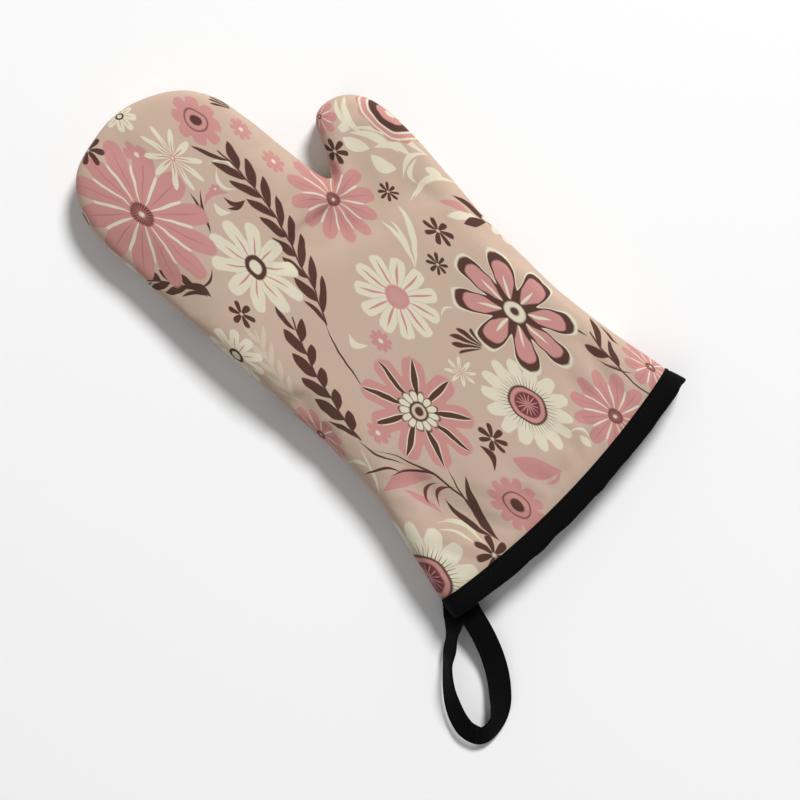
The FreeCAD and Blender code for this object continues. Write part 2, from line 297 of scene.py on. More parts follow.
def add_field(side, last_ring):
    """The filled middle of one panel, joined to its last ring."""
    known = {tuple(np.round(p, 3)): last_ring + i for i, p in enumerate(inner_ring)}
    index = []
    for p, height in zip(field_points, panel_height):
        key = tuple(np.round(p, 3))
        if key in known:
            index.append(known[key])
            continue
        index.append(len(form_points))
        add_point(p, p, MID + side * height, 1.0)
    for face in field_faces:
        corners = [index[i] for i in face]
        form_faces.append(tuple(corners if side > 0 else corners[::-1]))
        form_side.append(side)


for side in (1, -1):
    add_field(side, add_rings(side))
form = np.array(form_points)
flat = np.array(form_flat)
form_side = np.array(form_side)
form_loose = np.array(form_loose)
print("form:", len(form), "points,", len(form_faces), "faces")

# %% [markdown]
# ## Padding and puckers
# Padding makes the panels swell, and a seam is always a little shorter than the cloth beside it,
# so the cloth puckers. The form is simulated as cloth with a little too much length, blown up
# gently from inside, and held where the binding grips it. The result is capped to a few
# millimetres, and the underside is pressed flat, because the mitt lies on a table.

# %% Helpers that make Blender objects
CUT_UNIT = 100.0               # one unit of the flat map is this many millimetres


def to_frame(points):
    """Millimetres from the cuff line to metres in the model's frame."""
    points = np.asarray(points, float)
    return (points + np.array([0.0, CUFF_Y, 0.0])) * MM


def add_object(name, data):
    made = bpy.data.objects.new(name, data)
    bpy.context.scene.collection.objects.link(made)
    return made


def make_object(name, points, faces):
    mesh = bpy.data.meshes.new(name)
    mesh.from_pydata([tuple(p) for p in to_frame(points)], [], faces)
    mesh.update()
    mesh.polygons.foreach_set("use_smooth", [True] * len(mesh.polygons))
    return add_object(name, mesh)


def write_cut(piece, place):
    """Store each point's place on the flat cloth, given in millimetres, as the map "cut"."""
    cut = piece.data.uv_layers.new(name="cut")
    loops = np.zeros(len(piece.data.loops), np.int32)
    piece.data.loops.foreach_get("vertex_index", loops)
    cut.data.foreach_set("uv", (place / CUT_UNIT)[loops].ravel())


def tube_faces(rings, sides, first=0, closed=False):
    """Faces between rings of points; a tube is capped at its ends, or closed on itself."""
    faces = []
    for k in range(rings if closed else rings - 1):
        here = first + k * sides
        there = first + (k + 1) % rings * sides
        for s in range(sides):
            t = (s + 1) % sides
            faces.append((here + s, here + t, there + t, there + s))
    if not closed:
        last = first + (rings - 1) * sides
        faces.append(tuple(range(first, first + sides))[::-1])
        faces.append(tuple(range(last, last + sides)))
    return faces


def vertex_normals(points, faces):
    """Outward normals of a form, weighted by face area."""
    total = np.zeros_like(points)
    for face in faces:
        a, b, c = points[face[0]], points[face[1]], points[face[2]]
        n = np.cross(b - a, c - a)
        if len(face) == 4:
            n = n + np.cross(c - a, points[face[3]] - a)
        for i in face:
            total[i] += n
    return unit(total)


# %% Let the cloth swell
SIM_FRAMES = 14
MOST_MOVE = 2.6                # the result is capped to this
MOST_RISE = 2.4                # and may stand this far above the flat mitt
GRIP_FROM, GRIP_OVER = 7.0, 6.0          # where the binding's hold begins, and how softly
CLOTH = {"quality": 5, "mass": 0.2, "tension_stiffness": 18.0, "compression_stiffness": 18.0,
         "shear_stiffness": 8.0, "bending_stiffness": 0.9, "shrink_min": -0.022,
         "use_pressure": True, "uniform_pressure_force": 2.2, "vertex_group_mass": "grip"}


def swell(points, faces):
    """Cloth simulation of the empty form, with its result capped."""
    piece = make_object("swelling_form", points, faces)
    grip = piece.vertex_groups.new(name="grip")
    radius = mouth_radius(points[:, :2])
    for i, r in enumerate(radius):
        weight = float(np.clip((r - MOUTH_R + GRIP_FROM) / GRIP_OVER, 0.0, 1.0))
        if weight > 0.0:
            grip.add([i], weight, "REPLACE")
    cloth = piece.modifiers.new("cloth", "CLOTH")
    for key, value in CLOTH.items():
        setattr(cloth.settings, key, value)
    cloth.settings.effector_weights.gravity = 0.0
    cloth.point_cache.frame_start = 1
    cloth.point_cache.frame_end = SIM_FRAMES
    scene = bpy.context.scene
    for number in range(1, SIM_FRAMES + 1):
        scene.frame_set(number)
    settled = piece.evaluated_get(bpy.context.evaluated_depsgraph_get())
    moved = np.array([v.co[:] for v in settled.data.vertices]) / MM
    moved -= np.array([0.0, CUFF_Y, 0.0])
    scene.frame_set(1)
    bpy.data.objects.remove(piece)
    shift = moved - points
    size = np.linalg.norm(shift, axis=1)
    print("cloth moved", size.mean().round(2), "mm on average,", size.max().round(2), "at most")
    share = np.minimum(1.0, MOST_MOVE / np.maximum(size, 1e-6))
    return points + shift * share[:, None]


# %% Soft hills and puckers


def soft_bumps(points):
    """Slow hills of padding that moves about inside a sewn panel."""
    hills = []
    for p in points:
        broad = noise.noise(Vector((p[0] / 46.0, p[1] / 60.0, p[2] / 30.0)))
        small = noise.noise(Vector((p[0] / 15.0 + 9.0, p[1] / 21.0, p[2] / 30.0)))
        hills.append(0.55 * broad + 0.22 * small)
    return np.array(hills)


PUCKERS = [                    # across, along, length, width, lean to one side, depth
    (47, 26, 34, 7, 0.10, 0.9), (20, 24, 40, 8, -0.05, 0.8), (-10, 22, 30, 7, 0.12, 0.7),
    (-36, 30, 44, 9, 0.22, 1.0), (-60, 34, 40, 8, 0.30, 0.9), (66, 40, 36, 8, -0.12, 0.7),
    (48, 190, 30, 8, 0.35, 0.8), (20, 186, 34, 9, -0.55, 0.8), (62, 150, 46, 9, 0.08, 0.5),
    (-58, 120, 60, 10, 0.12, 0.6), (-30, 285, 40, 11, -0.10, 0.5), (-66, 230, 50, 9, 0.05, 0.6),
]


def puckers(points):
    """Shallow valleys where a tight seam gathers the cloth beside it."""
    depth = np.zeros(len(points))
    for x, y, length, width, lean, deep in PUCKERS:
        run = (points[:, 1] - y) / length * 2.0
        off = (points[:, 0] - x - lean * (points[:, 1] - y)) / width
        depth -= deep * np.exp(-off ** 2 * 2.0) * np.exp(-run ** 2)
        depth += 0.35 * deep * np.exp(-(np.abs(off) - 1.3) ** 2 * 3.0) * np.exp(-run ** 2)
    return depth


FREE_OVER = 12.0               # the cloth comes free of the binding over this distance
normal = vertex_normals(form, form_faces)
radius = mouth_radius(form[:, :2])
free = np.clip((MOUTH_R - 1.0 - radius) / FREE_OVER, 0.0, 1.0) * form_loose
form = form + (swell(form, form_faces) - form) * free[:, None]
form = form + normal * ((soft_bumps(form) + puckers(form)) * free)[:, None]
form[:, 2] = np.clip(form[:, 2], 0.0, THICK + MOST_RISE)
print("form box:", form.min(0).round(1), form.max(0).round(1))

# %% [markdown]
# ## Shell, padding and lining
# Every layer of the wall is the same form at two depths, closed round its rim. Depth is counted
# from the outer face, and where the binding grips the wall the layers are thinner and lie deeper.

# %% One function makes all six layers
radius = mouth_radius(form[:, :2])
UNDER_TAPE = np.clip((radius - (MOUTH_R - 1.3)) / 1.6, 0.0, 1.0)   # 0 in the hand, 1 in the tape
RAW_EDGE_BACK = 1.7            # the raw edge stops this short of the tape's fold
BACK_SHIFT = 6.0               # the back panel is the same cloth, turned over and moved by this
section_normal = unit(normal * np.array([1.0, 0.0, 1.0]))
normal = normal + (section_normal - normal) * UNDER_TAPE[:, None]
trim = RAW_EDGE_BACK * np.clip((radius - MOUTH_R) / BINDING_W, 0.0, 1.0) ** 2


def at_depth(hand_depth, cuff_depth):
    depth = hand_depth + (cuff_depth - hand_depth) * UNDER_TAPE
    points = form - normal * depth[:, None]
    points[:, 1] += trim
    return points


def layer(name, side, outer, inner):
    """A closed layer of one panel; outer and inner are depths in the hand and at the cuff."""
    faces = [f for f, s in zip(form_faces, form_side) if s == side]
    used = sorted({i for f in faces for i in f})
    index = {old: new for new, old in enumerate(used)}
    count = len(used)
    points = np.concatenate([at_depth(*outer)[used], at_depth(*inner)[used]])
    top = [tuple(index[i] for i in f) for f in faces]
    edge_use = {}
    for f in top:
        for a, b in zip(f, f[1:] + f[:1]):
            edge_use[(a, b)] = edge_use.get((a, b), 0) + 1
    rim = [(a, b) for a, b in edge_use if (b, a) not in edge_use]
    bottom = [tuple(i + count for i in f[::-1]) for f in top]
    walls = [(b, a, a + count, b + count) for a, b in rim]
    points[:, 2] = np.maximum(points[:, 2], 0.0)
    piece = make_object(name, points, top + bottom + walls)
    place = np.concatenate([flat[used], flat[used]])
    if side < 0:
        place[:, 0] = BACK_SHIFT - place[:, 0]
    write_cut(piece, place)
    print(name, len(points), "points")
    return piece


HAIR = 0.03
b0 = SHELL_T + HAIR
b1 = SHELL_T + BATTING_T - HAIR
c0 = TAPE_T + SHELL_T
c1 = TAPE_T + CUFF_STACK - LINING_T
layers = {}
for side, word in ((1, "front"), (-1, "back")):
    layers[word + "_shell"] = layer(word + "_shell_cloth", side, (0.0, TAPE_T), (SHELL_T, c0))
    layers[word + "_batting"] = layer(word + "_padding", side, (b0, c0 + HAIR), (b1, c1 - HAIR))
    layers[word + "_lining"] = layer(word + "_lining_cloth", side,
                                     (WALL - LINING_T, c1), (WALL, TAPE_T + CUFF_STACK))

# %% [markdown]
# ## The binding
# Binding tape is folded round the raw edges of the wall and topstitched near its inner fold. It
# is one closed section, drawn once and carried round the mouth: outer leaf, rolled fold, inner
# leaf. The tape is soft, so its fold wanders a little.

# %% The mouth's outer face, at any distance from the cuff line


def mouth_loop(arc_radius, mid_points=44):
    """Closed loop round the mouth on the form's outer face, and its outward directions."""
    gap = np.abs(mouth_radius(fine_seam) - arc_radius)
    half = len(fine_seam) // 2
    thumb = fine_seam[np.argmin(np.where(np.arange(len(gap)) < half, gap, 1e9))]
    pinky = fine_seam[np.argmin(np.where(np.arange(len(gap)) >= half, gap, 1e9))]
    insets = RING_INSET + CROWN_INSET[1:4]
    heights = RING_HEIGHT + CROWN_HEIGHT[1:4]
    middle = np.linspace(thumb[0] - 24.0, pinky[0] + 24.0, mid_points)
    xs = [thumb[0] - i for i in insets] + list(middle) + [pinky[0] + i for i in insets[::-1]]
    hs = heights + [MID] * mid_points + heights[::-1]
    top = list(zip(xs, hs))
    ring = [(x, MID + h) for x, h in top] + [(x, MID - h) for x, h in top[::-1][1:-1]]
    ring = np.array(ring)
    y = MOUTH_CENTRE[1] - np.sqrt(arc_radius ** 2 - ring[:, 0] ** 2)
    points = np.stack([ring[:, 0], y, ring[:, 1]], axis=1)
    step = np.roll(ring, -1, axis=0) - np.roll(ring, 1, axis=0)
    out = unit(np.stack([-step[:, 1], step[:, 0]], axis=1))
    middle_of_mouth = np.array([0.0, MID])
    facing = ((ring - middle_of_mouth) * out).sum(axis=1)
    if facing.mean() < 0:
        out = -out
    return points, np.stack([out[:, 0], np.zeros(len(out)), out[:, 1]], axis=1)


print("round the mouth:", len(mouth_loop(MOUTH_R)[0]), "points")

# %% The tape's folded section, carried round
THUMB_CORNER = 92.0        # the folded end of the tape makes a small knob here
KNOB_REACH, KNOB_OUT, KNOB_DOWN = 3.5, 1.6, 0.5
TAPE_SECTION = [          # distance from the cuff line, depth below the form's outer face
    (0.35, 0.95), (-0.15, 0.75), (-0.3, 0.3), (0.0, -0.1), (0.9, -0.35), (1.7, -0.2),
    (2.1, -0.08), (2.5, -0.2), (3.4, -0.45), (6.5, -0.6), (9.5, -0.5), (11.2, -0.25),
    (12.2, 0.5), (12.6, 1.8), (12.65, 3.3), (12.5, 4.9), (11.9, 6.1), (10.9, 6.65), (7.0, 6.8),
    (3.0, 6.75), (0.6, 6.6), (0.0, 6.3), (0.3, 5.85), (3.0, 5.65), (10.4, 5.64), (11.35, 5.1),
    (11.52, 3.3), (11.35, 1.5), (10.4, 0.97), (3.0, 0.96),
]


def carry_tape(name):
    rows = []
    for run, depth in TAPE_SECTION:
        points, out = mouth_loop(MOUTH_R + run)
        rows.append(points - out * depth)
    rows = np.array(rows)
    count = rows.shape[1]
    for j in range(count):
        c, s = math.cos(2.0 * math.pi * j / count), math.sin(2.0 * math.pi * j / count)
        drift = noise.noise(Vector((c * 5.0, s * 5.0, 2.0)))           # a slow wander of the fold
        ripple = noise.noise(Vector((c * 16.0, s * 16.0, 7.0)))        # and a quick one
        for k, (run, depth) in enumerate(TAPE_SECTION):
            share = max(0.0, run) / BINDING_W
            rows[k, j, 1] -= share * (0.9 * drift + 0.35 * ripple)
            rows[k, j, 2] += 0.25 * ripple * share
            outer = share ** 2 * min(1.0, max(0.0, (3.4 - depth) / 2.0))
            knob = math.exp(-((rows[k, j, 0] - THUMB_CORNER) / KNOB_REACH) ** 2) * outer
            rows[k, j, 0] += KNOB_OUT * knob
            rows[k, j, 1] -= KNOB_DOWN * knob
    rows[:, :, 2] = np.maximum(rows[:, :, 2], 0.0)
    faces = tube_faces(len(TAPE_SECTION), count, closed=True)
    return make_object(name, rows.reshape(-1, 3), faces), rows


binding_tape, tape_rows = carry_tape("binding_tape")
print("binding:", len(binding_tape.data.vertices), "points")

# %% [markdown]
# ## Topstitching and seam threads
# A lockstitch shows as a row of short plump thread ends, each sunk at both ends where the needle
# went through. One function lays such a row along any line, and makes the topstitching of the
# binding and the hidden seams alike.

# %% Rows of stitches
STITCH_SIDES = 6
STITCH_ANGLES = [2.0 * math.pi * s / STITCH_SIDES for s in range(STITCH_SIDES)]
STITCH_SECTIONS = [          # share of the length, thickness, how far it stands out of the cloth
    (-0.5, 0.15, -0.5), (-0.38, 0.75, -0.1), (-0.15, 1.0, 0.25), (0.15, 1.0, 0.25),
    (0.38, 0.75, -0.1), (0.5, 0.15, -0.5),
]
TOPSTITCH = (2.5, 0.55, 0.4, 3.3)          # length, width, height and pitch
SEAM_STITCH = (2.4, 0.35, 0.35, 2.9)
LOOP_STITCH = (2.3, 0.5, 0.35, 3.0)


def stitch_row(name, line, up, length, width, height, pitch):
    """Small pillow-shaped stitches along a line; up gives the cloth's outward direction."""
    run = run_along(line)

    def at_run(where, rows):
        return np.array([np.interp(where, run, rows[:, i]) for i in range(3)])

    points, faces = [], []
    at = pitch
    while at < run[-1] - pitch:
        place = at_run(at, line)
        ahead = at_run(at + 0.5, line) - place
        ahead /= np.linalg.norm(ahead)
        top = at_run(at, up)
        top -= ahead * (top @ ahead)
        top /= np.linalg.norm(top)
        across = np.cross(ahead, top)
        faces += tube_faces(len(STITCH_SECTIONS), STITCH_SIDES, len(points))
        for along, fat, lift in STITCH_SECTIONS:
            for angle in STITCH_ANGLES:
                points.append(place + ahead * along * length
                              + across * math.cos(angle) * fat * width / 2.0
                              + top * (math.sin(angle) * fat + lift) * height / 2.0)
        at += pitch
    print(name, "stitches:", len(points) // (STITCH_SIDES * len(STITCH_SECTIONS)))
    return make_object(name, points, faces)


STITCH_LINE = 2.1            # from the cuff line to the binding's topstitching
row_at = [run for run, depth in TAPE_SECTION].index(STITCH_LINE)
mouth_out = mouth_loop(MOUTH_R + STITCH_LINE)[1]
stitched = tape_rows[row_at] + mouth_out * 0.12
flat_top = mouth_out[:, 2] > 0.97
flat_under = mouth_out[:, 2] < -0.97
topstitch_front = stitch_row("topstitching_front", stitched[flat_top], mouth_out[flat_top],
                             *TOPSTITCH)
under = stitched[flat_under]
under[:, 2] = 0.25
topstitch_back = stitch_row("topstitching_back", under, mouth_out[flat_under], *TOPSTITCH)

# %% [markdown]
# ## The hidden seams
# The shell and the lining are each sewn along the whole outline but the mouth, and the thread of
# those seams lies inside, a little way in from the edge. Nobody sees it, but a mitt without it
# would fall apart, so the same rows of stitches are laid along two lines inside the seam.

# %% Hidden threads beside the seams
SHELL_SEAM_IN, LINING_SEAM_IN, SEAM_ABOVE = 2.2, 3.7, 1.0


def seam_line_at(depth, height):
    """The seam moved in to a depth, at a height above or below the middle."""
    spine = seam + normals_of(seam) * depth
    spine = spine[mouth_radius(seam) < MOUTH_R - 2.0]
    return np.stack([spine[:, 0], spine[:, 1], np.full(len(spine), MID + height)], axis=1)


shell_line = seam_line_at(SHELL_SEAM_IN, SEAM_ABOVE)
lining_line = seam_line_at(LINING_SEAM_IN, SEAM_ABOVE)
upward = np.tile([0.0, 0.0, 1.0], (len(shell_line), 1))
shell_thread = stitch_row("shell_seam_stitches", shell_line, upward, *SEAM_STITCH)
lining_thread = stitch_row("lining_seam_stitches", lining_line, upward, *SEAM_STITCH)

# %% [markdown]
# ## The hanging loop
# The loop is a length of the same tape, folded and stitched, whose two ends are caught in the
# side seam of the cuff. Flat tape can't turn a corner in its own plane, so it leans as it goes
# round: the limbs lie down near the cuff and the tape stands up at the tip. It is drawn directly,
# as a soft-cornered section carried along a leaning route, because a strap this thin would be
# lost in a cloth simulation.

# %% The route of the tape
LOOP_ROOT = np.array([-90.0, -14.0])
LOOP_HEADING = math.radians(227.9)
HEADING = np.array([math.cos(LOOP_HEADING), math.sin(LOOP_HEADING)])
LOOP_ROUTE = [            # out from the root, across, height of the tape's middle, lean in degrees
    (-13.0, -1.8, 12.2, 0.0), (-3.0, -1.9, 12.2, 10.0), (3.9, -3.1, 11.6, 46.0),
    (10.5, -4.6, 10.8, 64.0), (17.4, -6.1, 10.2, 60.0), (26.3, -7.9, 9.6, 70.0),
    (38.0, -8.0, 8.8, 62.0), (49.3, -6.0, 8.0, 48.0), (56.5, -3.4, 7.4, 40.0),
    (62.4, 0.4, 7.0, 34.0), (66.0, 6.2, 6.8, 34.0), (64.4, 12.6, 6.8, 44.0),
    (59.6, 17.2, 6.6, 46.0), (52.5, 19.8, 5.8, 32.0), (44.2, 20.4, 4.8, 14.0),
    (33.7, 19.8, 4.6, 4.0), (23.1, 17.6, 5.6, 0.0), (13.9, 14.5, 7.4, 0.0), (7.4, 11.7, 9.0, 0.0),
    (2.4, 9.2, 10.2, 0.0), (-4.3, 6.0, 11.0, 0.0), (-13.0, 3.0, 11.2, 0.0),
]
LOOP_W = 13.0
LOOP_T = 1.2
LOOP_STEP = 1.1


def from_root(out, across, height):
    x = LOOP_ROOT[0] + HEADING[0] * out - HEADING[1] * across
    y = LOOP_ROOT[1] + HEADING[1] * out + HEADING[0] * across
    return (x, y, height)


route = smooth_line([from_root(*r[:3]) + (r[3],) for r in LOOP_ROUTE], 12)
route = even_steps(route, LOOP_STEP)
along = unit(np.gradient(route[:, :3], axis=0))
level = unit(np.stack([-along[:, 1], along[:, 0], np.zeros(len(along))], axis=1))
lean = np.radians(route[:, 3])[:, None]
across_tape = level * np.cos(lean) + np.array([0.0, 0.0, 1.0]) * np.sin(lean)
face_out = np.cross(along, across_tape)
face_out *= np.sign(face_out[:, 2:3])
print("loop tape:", len(route), "steps,", round(LOOP_STEP * (len(route) - 1)), "mm long")

# %% The tape's section: rounded folds and a shallow stitched channel
TAPE_OUTLINE = [          # across the tape, above its middle
    (-1.0, 0.0), (-0.97, 0.75), (-0.88, 1.0), (-0.80, 0.96), (-0.74, 0.70), (-0.68, 0.96),
    (-0.5, 1.06), (0.0, 1.12), (0.5, 1.06), (0.68, 0.96), (0.74, 0.70), (0.80, 0.96),
    (0.88, 1.0), (0.97, 0.75), (1.0, 0.0), (0.97, -0.75), (0.88, -1.0), (0.4, -1.02),
    (-0.4, -1.02), (-0.88, -1.0), (-0.97, -0.75),
]


def carry_loop(name):
    points = []
    for i, (spot, wide, up) in enumerate(zip(route[:, :3], across_tape, face_out)):
        ripple = 0.22 * noise.noise(Vector((i * 0.08, 3.0, 1.0)))
        for a, h in TAPE_OUTLINE:
            points.append(spot + wide * a * LOOP_W / 2.0 + up * (h * LOOP_T / 2.0 + ripple * a))
    points = np.array(points)
    points[:, 2] = np.maximum(points[:, 2], 0.05)
    total = len(TAPE_OUTLINE)
    faces = [f[:1] + f[:0:-1] for f in tube_faces(len(route), total)]     # turned to face outward
    piece = make_object(name, points, faces)
    run = np.repeat(np.arange(len(route)) * LOOP_STEP, total)
    over = np.tile([a * LOOP_W / 2.0 for a, h in TAPE_OUTLINE], len(route))
    write_cut(piece, np.stack([over, run], axis=1))
    return piece


STITCHES_FROM = 6.5        # past the soft bend, where the tape swings as one
CHANNEL = 0.74             # the stitched channel's place across half the tape
loop_tape = carry_loop("loop_tape")
outside = (route[:, :2] - LOOP_ROOT) @ HEADING > STITCHES_FROM
edge_line = route[:, :3] + across_tape * (CHANNEL * LOOP_W / 2.0) + face_out * 0.5
loop_stitches = stitch_row("loop_stitching", edge_line[outside], face_out[outside], *LOOP_STITCH)

# %% [markdown]
# ## The bartack
# A bartack is a short bar of close, slanting threads that pins a strap for good. This one holds
# the two ends of the loop inside the side seam. Each thread is one plump rod, laid in a row by a
# loop, because that is also how the machine sews it.

# %% The bartack that holds the ends of the loop
TACK_IN, TACK_OUT = -9.6, -6.8           # each thread's ends, out from the root
TACK_COUNT, TACK_FIRST, TACK_PITCH = 9, -3.6, 0.9
TACK_SLANT = 0.25
TACK_W, TACK_H = 0.36, 0.22
TACK_SECTIONS = [(-1.0, 0.3), (-0.7, 0.9), (0.0, 1.0), (0.7, 0.9), (1.0, 0.3)]


def bartack(name):
    points, faces = [], []
    for i in range(TACK_COUNT):
        across = TACK_FIRST + TACK_PITCH * i
        for height in (MID + LOOP_T + 0.45, MID - LOOP_T - 0.35):
            start = np.array(from_root(TACK_IN, across, height))
            end = np.array(from_root(TACK_OUT, across + TACK_SLANT, height))
            reach = (end - start) / 2.0
            side = np.cross(reach / np.linalg.norm(reach), [0.0, 0.0, 1.0])
            faces += tube_faces(len(TACK_SECTIONS), STITCH_SIDES, len(points))
            for share, fat in TACK_SECTIONS:
                for angle in STITCH_ANGLES:
                    points.append((start + end) / 2.0 + reach * share
                                  + side * math.cos(angle) * TACK_W * fat
                                  + np.array([0.0, 0.0, math.sin(angle) * TACK_H * fat]))
    return make_object(name, points, faces)


loop_tack = bartack("loop_tack")
print("bartack:", 2 * TACK_COUNT, "threads")

# %% [markdown]
# ## Materials as expressions
# A shader is a small program. The class below wraps one socket of one node, so that a formula
# typed in Python adds its Math nodes. Everything that is not number arithmetic comes from its
# method node, which takes a node's type, its settings and the values of its sockets.

# %% One class for shader values


class Value:
    """A socket that can be used in formulas."""

    def __init__(self, tree, socket):
        self.tree = tree
        self.socket = socket

    def node(self, kind, settings=(), sockets=(), output=0):
        made = self.tree.nodes.new(kind)
        for key, value in dict(settings).items():
            setattr(made, key, value)
        for key, value in dict(sockets).items():
            if isinstance(value, Value):
                self.tree.links.new(value.socket, made.inputs[key])
            else:
                made.inputs[key].default_value = value
        return Value(self.tree, made.outputs[output] if len(made.outputs) else None)

    def parts(self):
        """The x, y and z of a vector."""
        split = self.node("ShaderNodeSeparateXYZ", (), {0: self})
        return [Value(self.tree, socket) for socket in split.socket.node.outputs]

    def math(self, operation, *values, clamp=False):
        settings = {"operation": operation, "use_clamp": clamp}
        return self.node("ShaderNodeMath", settings, dict(enumerate((self,) + values)))

    def vector(self, operation, *values, output=0):
        settings = {"operation": operation}
        return self.node("ShaderNodeVectorMath", settings, dict(enumerate((self,) + values)), output)

    def __add__(self, other):
        return self.math("ADD", other)

    __radd__ = __add__

    def __mul__(self, other):
        return self.math("MULTIPLY", other)

    __rmul__ = __mul__

    def __sub__(self, other):
        return self.math("SUBTRACT", other)

    def __rsub__(self, other):
        return self.node("ShaderNodeMath", {"operation": "SUBTRACT"}, {0: other, 1: self})

    def __truediv__(self, other):
        return self.math("DIVIDE", other)

    def ramp(self, factor, offset):
        """factor times this value plus offset, kept from 0 to 1."""
        return self.math("MULTIPLY_ADD", factor, offset, clamp=True)

    def below(self, limit, soft):
        """1 where this value is below a fixed limit, over a soft edge."""
        return self.ramp(-1.0 / soft, limit / soft + 0.5)

    def above(self, limit, soft):
        return self.ramp(1.0 / soft, 0.5 - limit / soft)

    def both(self, other):
        return self.math("MINIMUM", other)

    def either(self, other):
        return self.math("MAXIMUM", other)


# %% Mixes, noise and colours


def blend_colour(factor, first, second):
    """Mix of two colours."""
    source = factor if isinstance(factor, Value) else first
    return source.node("ShaderNodeMix", {"data_type": "RGBA"}, {0: factor, 6: first, 7: second}, 2)


def blend_vector(factor, first, second):
    settings = {"data_type": "VECTOR", "clamp_factor": False}
    return factor.node("ShaderNodeMix", settings, {0: factor, 4: first, 5: second}, 1)


def noise_at(place, scale, detail, output=0, dimensions="3D", distortion=0.0):
    """A noise texture at a place."""
    sockets = {"Vector": place, "Scale": scale, "Detail": detail, "Distortion": distortion}
    return place.node("ShaderNodeTexNoise", {"noise_dimensions": dimensions}, sockets, output)


def linear(red, green, blue):
    """A screen colour of 0 to 255 as the linear colour that a shader takes."""
    result = []
    for channel in (red, green, blue):
        c = channel / 255.0
        result.append(c / 12.92 if c < 0.04045 else ((c + 0.055) / 1.055) ** 2.4)
    return tuple(result) + (1.0,)


GROUND = linear(190, 167, 147)
GROUND_WARM = linear(194, 168, 151)
PINK = linear(192, 136, 130)
DEEP_PINK = linear(180, 114, 113)
CREAM = linear(214, 206, 182)
SAND = linear(201, 186, 163)
BROWN = linear(81, 51, 43)
MAROON = linear(111, 56, 61)
print("pink as linear light:", [round(c, 3) for c in PINK[:3]])

# %% [markdown]
# ## The printed cotton
# The print is a toss of flowers: big pink daisies, cream daisies, small ringed flowers, brown
# blossoms, leafy sprigs and loose strokes on a beige ground, all drawn a little longer than wide.
# It is not a picture. Each kind of flower is one formula in polar coordinates, and the cloth asks
# only for the nearest flower of that kind, so a dozen daisies cost little more than one.

# %% Where each kind of flower is printed: across, along, half width, half length, petals
PINK_DAISIES = [
    (-51, 264, 29, 49, 12), (29, 197, 20, 31, 12), (50.5, 2, 19, 30, 12), (83, 7, 10, 20, 10),
    (-71, 111, 10, 20, 10), (58, 233, 9, 12, 8), (72, 285, 26, 38, 12), (-108, 210, 20, 30, 12),
]
RAYED_DAISIES = [(-22.5, 81, 24, 38, 9), (-96, 150, 20, 32, 9)]
DAISY_HEARTS = [(-22.5, 81, 9.5, 14, 13), (-96, 150, 8, 12, 13)]
CREAM_DAISIES = [
    (-27.5, 200, 19, 32, 10), (-69.5, 173.5, 12, 19, 10), (-22, 312, 8, 12, 8),
    (50, 262, 15, 24, 10), (74, 320, 18, 26, 12),
]
DISC_DAISIES = [(14, 133, 18.5, 28, 11), (-93, 250, 16, 25, 11)]
FRINGED_DAISIES = [(21, 41, 19, 31, 14), (-85, 14, 25, 37, 14), (92, 120, 14, 22, 14)]
FEATURE_FLOWERS = [(52.5, 81.5, 25, 43, 8), (-98, 290, 24, 38, 8)]
SMALLER_FEATURE = [(x, y, wide * 0.95, tall * 0.96, petals)
                   for x, y, wide, tall, petals in FEATURE_FLOWERS]
STAR_DAISIES = [(-18, 274, 12.5, 22, 10), (9, 79.5, 7, 10, 8)]
RING_FLOWERS = [(5, 280, 10, 17.5, 8), (-22, 7, 11.5, 19, 12), (36, 306, 10, 16, 8)]
SMALL_FLOWERS = [
    (19, 260, 4.8, 7.5, 8), (20, 235, 4.8, 7.5, 8), (-9, 123, 4.8, 7.5, 9), (-46, 89, 5, 8, 7),
    (-31, 290, 5, 9, 5), (-13, 246, 3, 3, 5),
]
BLOSSOMS = [
    (50, 213.5, 6, 8.5, 6), (55, 141, 6, 10, 7), (-51, 187, 5.5, 9, 6), (-5, 42, 6, 10, 7),
    (-47, 312, 8, 12, 7), (-51, -3, 9, 13, 7), (52.5, 176.5, 4.8, 7, 8), (42, 130, 4.8, 7, 8),
    (90, 250, 6, 9, 6),
]
EDGE_FLOWERS = [(86, 206, 14, 23, 12)]
print("pink daisies:", len(PINK_DAISIES), "blossoms:", len(BLOSSOMS))

